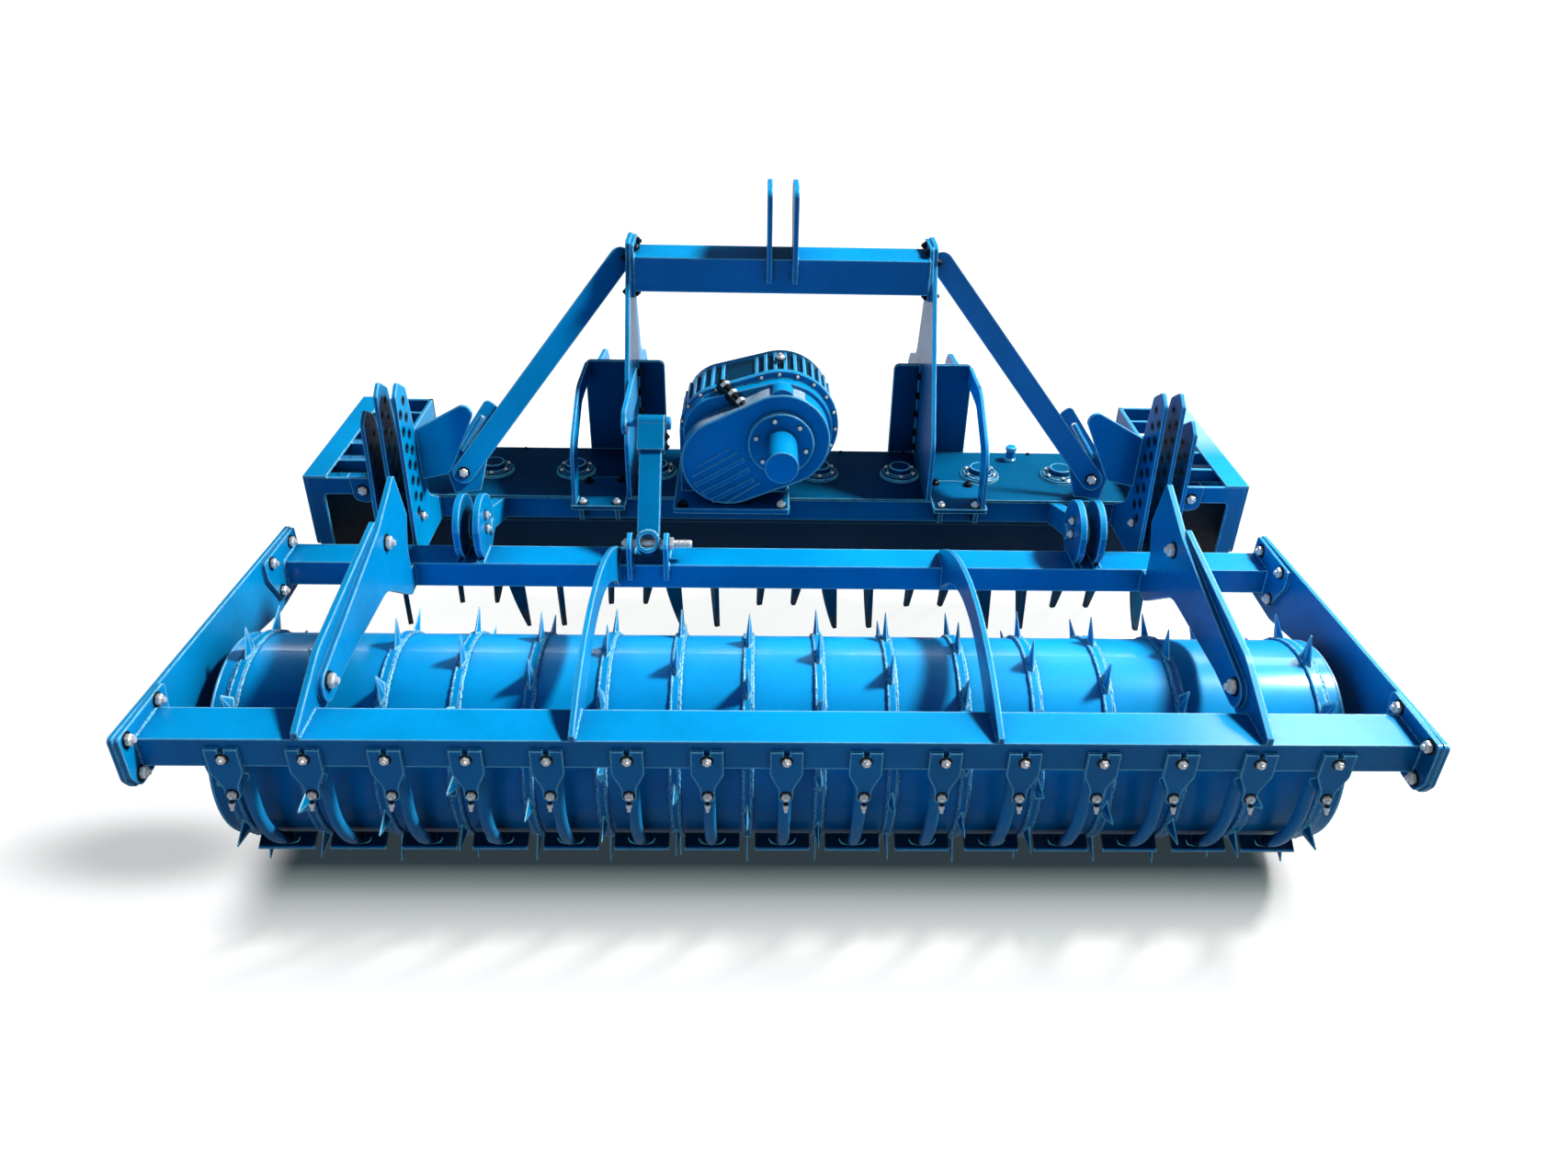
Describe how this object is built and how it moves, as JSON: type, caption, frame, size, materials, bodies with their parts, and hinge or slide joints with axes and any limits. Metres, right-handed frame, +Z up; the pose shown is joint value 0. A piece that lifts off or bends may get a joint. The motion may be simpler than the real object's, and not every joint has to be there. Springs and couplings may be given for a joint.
{
  "type": "power harrow",
  "caption": "Tractor-mounted power harrow: gear trough with upright tined rotors, hitch tower, and a hinged rear frame with a toothed packer roller and scrapers.",
  "frame": {"origin": "on the ground under the middle of the machine's bounding box", "axes": "+X to the right across the machine as seen from behind, +Y in the direction of travel, +Z up"},
  "size_m": [3.0594, 2.14, 1.56],
  "materials": {
    "blue_paint": "gloss machinery paint",
    "tine_steel": "painted forged steel",
    "bright_steel": "zinc-plated steel"
  },
  "bodies": {
    "harrow": {"trough": "blue_paint", "trough_cover": "blue_paint", "mast_plates": "blue_paint", "tower_beam": "blue_paint", "top_link_lugs": "blue_paint", "tower_braces": "blue_paint", "brace_feet": "blue_paint", "mast_feet": "blue_paint", "hitch_straps": "blue_paint", "hitch_plates": "blue_paint", "lower_link_ears": "blue_paint", "gearbox_base": "blue_paint", "gearbox_housing": "blue_paint", "gearbox_cover": "blue_paint", "shaft_guard": "blue_paint", "depth_plates": "blue_paint", "corner_gussets": "blue_paint", "side_frames": "blue_paint", "trough_lugs": "blue_paint", "strut_bracket": "blue_paint"},
    "roller_frame": {"rear_beam": "blue_paint", "front_beam": "blue_paint", "end_plates": "blue_paint", "roller_bearings": "blue_paint", "inner_ribs": "blue_paint", "adjusting_arms": "blue_paint", "outer_ribs": "blue_paint", "arm_bolts": "bright_steel", "hinge_ears": "blue_paint", "hinge_pins": "bright_steel", "strut_lugs": "blue_paint", "strut_pin": "bright_steel", "scrapers": "blue_paint"},
    "roller": {"roller_drum": "blue_paint", "roller_rings": "blue_paint"},
    "strut_sleeve": {"strut_sleeve": "blue_paint"},
    "strut_rod": {"strut_rod": "blue_paint"},
    "input_shaft": {"input_shaft": "bright_steel"},
    "rotor_01": {"rotor_01": "tine_steel"},
    "rotor_02": {"rotor_02": "tine_steel"},
    "rotor_03": {"rotor_03": "tine_steel"},
    "rotor_04": {"rotor_04": "tine_steel"},
    "rotor_05": {"rotor_05": "tine_steel"},
    "rotor_06": {"rotor_06": "tine_steel"},
    "rotor_07": {"rotor_07": "tine_steel"},
    "rotor_08": {"rotor_08": "tine_steel"},
    "rotor_09": {"rotor_09": "tine_steel"},
    "rotor_10": {"rotor_10": "tine_steel"}
  },
  "joints": [
    {"name": "roller_frame_swing", "type": "hinge", "parent": "harrow", "child": "roller_frame", "pos_m": [0, 0.05, 0.654], "axis": [1, 0, 0], "range_deg": [-12, 5]},
    {"name": "roller_spin", "type": "hinge", "parent": "roller_frame", "child": "roller", "pos_m": [0, -0.587, 0.349], "axis": [1, 0, 0], "continuous": true},
    {"name": "strut_swing", "type": "hinge", "parent": "harrow", "child": "strut_sleeve", "pos_m": [-0.405, 0.2, 0.94], "axis": [1, 0, 0], "range_deg": [-2.47, 1.21]},
    {"name": "strut_slide", "type": "slide", "parent": "strut_sleeve", "child": "strut_rod", "axis": [0, -0.6668, -0.7452], "range_m": [-0.01703, 0.00739]},
    {"name": "input_spin", "type": "hinge", "parent": "harrow", "child": "input_shaft", "pos_m": [0, 0.7, 0.72], "axis": [0, 1, 0], "continuous": true},
    {"name": "rotor_01_spin", "type": "hinge", "parent": "harrow", "child": "rotor_01", "pos_m": [-1.2825, 0.55, 0.45], "axis": [0, 0, 1], "continuous": true},
    {"name": "rotor_02_spin", "type": "hinge", "parent": "harrow", "child": "rotor_02", "pos_m": [-0.9975, 0.55, 0.45], "axis": [0, 0, 1], "continuous": true},
    {"name": "rotor_03_spin", "type": "hinge", "parent": "harrow", "child": "rotor_03", "pos_m": [-0.7125, 0.55, 0.45], "axis": [0, 0, 1], "continuous": true},
    {"name": "rotor_04_spin", "type": "hinge", "parent": "harrow", "child": "rotor_04", "pos_m": [-0.4275, 0.55, 0.45], "axis": [0, 0, 1], "continuous": true},
    {"name": "rotor_05_spin", "type": "hinge", "parent": "harrow", "child": "rotor_05", "pos_m": [-0.1425, 0.55, 0.45], "axis": [0, 0, 1], "continuous": true},
    {"name": "rotor_06_spin", "type": "hinge", "parent": "harrow", "child": "rotor_06", "pos_m": [0.1425, 0.55, 0.45], "axis": [0, 0, 1], "continuous": true},
    {"name": "rotor_07_spin", "type": "hinge", "parent": "harrow", "child": "rotor_07", "pos_m": [0.4275, 0.55, 0.45], "axis": [0, 0, 1], "continuous": true},
    {"name": "rotor_08_spin", "type": "hinge", "parent": "harrow", "child": "rotor_08", "pos_m": [0.7125, 0.55, 0.45], "axis": [0, 0, 1], "continuous": true},
    {"name": "rotor_09_spin", "type": "hinge", "parent": "harrow", "child": "rotor_09", "pos_m": [0.9975, 0.55, 0.45], "axis": [0, 0, 1], "continuous": true},
    {"name": "rotor_10_spin", "type": "hinge", "parent": "harrow", "child": "rotor_10", "pos_m": [1.2825, 0.55, 0.45], "axis": [0, 0, 1], "continuous": true}
  ],
  "couplings": [
    {"joint": "strut_swing", "follows": "roller_frame_swing", "ratio": 0.18113},
    {"joint": "strut_slide", "follows": "roller_frame_swing", "m_per_rad": 0.07892},
    {"joint": "rotor_02_spin", "follows": "rotor_01_spin", "ratio": -1},
    {"joint": "rotor_03_spin", "follows": "rotor_01_spin", "ratio": 1},
    {"joint": "rotor_04_spin", "follows": "rotor_01_spin", "ratio": -1},
    {"joint": "rotor_05_spin", "follows": "rotor_01_spin", "ratio": 1},
    {"joint": "rotor_06_spin", "follows": "rotor_01_spin", "ratio": -1},
    {"joint": "rotor_07_spin", "follows": "rotor_01_spin", "ratio": 1},
    {"joint": "rotor_08_spin", "follows": "rotor_01_spin", "ratio": -1},
    {"joint": "rotor_09_spin", "follows": "rotor_01_spin", "ratio": 1},
    {"joint": "rotor_10_spin", "follows": "rotor_01_spin", "ratio": -1},
    {"joint": "input_spin", "follows": "rotor_01_spin", "ratio": 3}
  ]
}
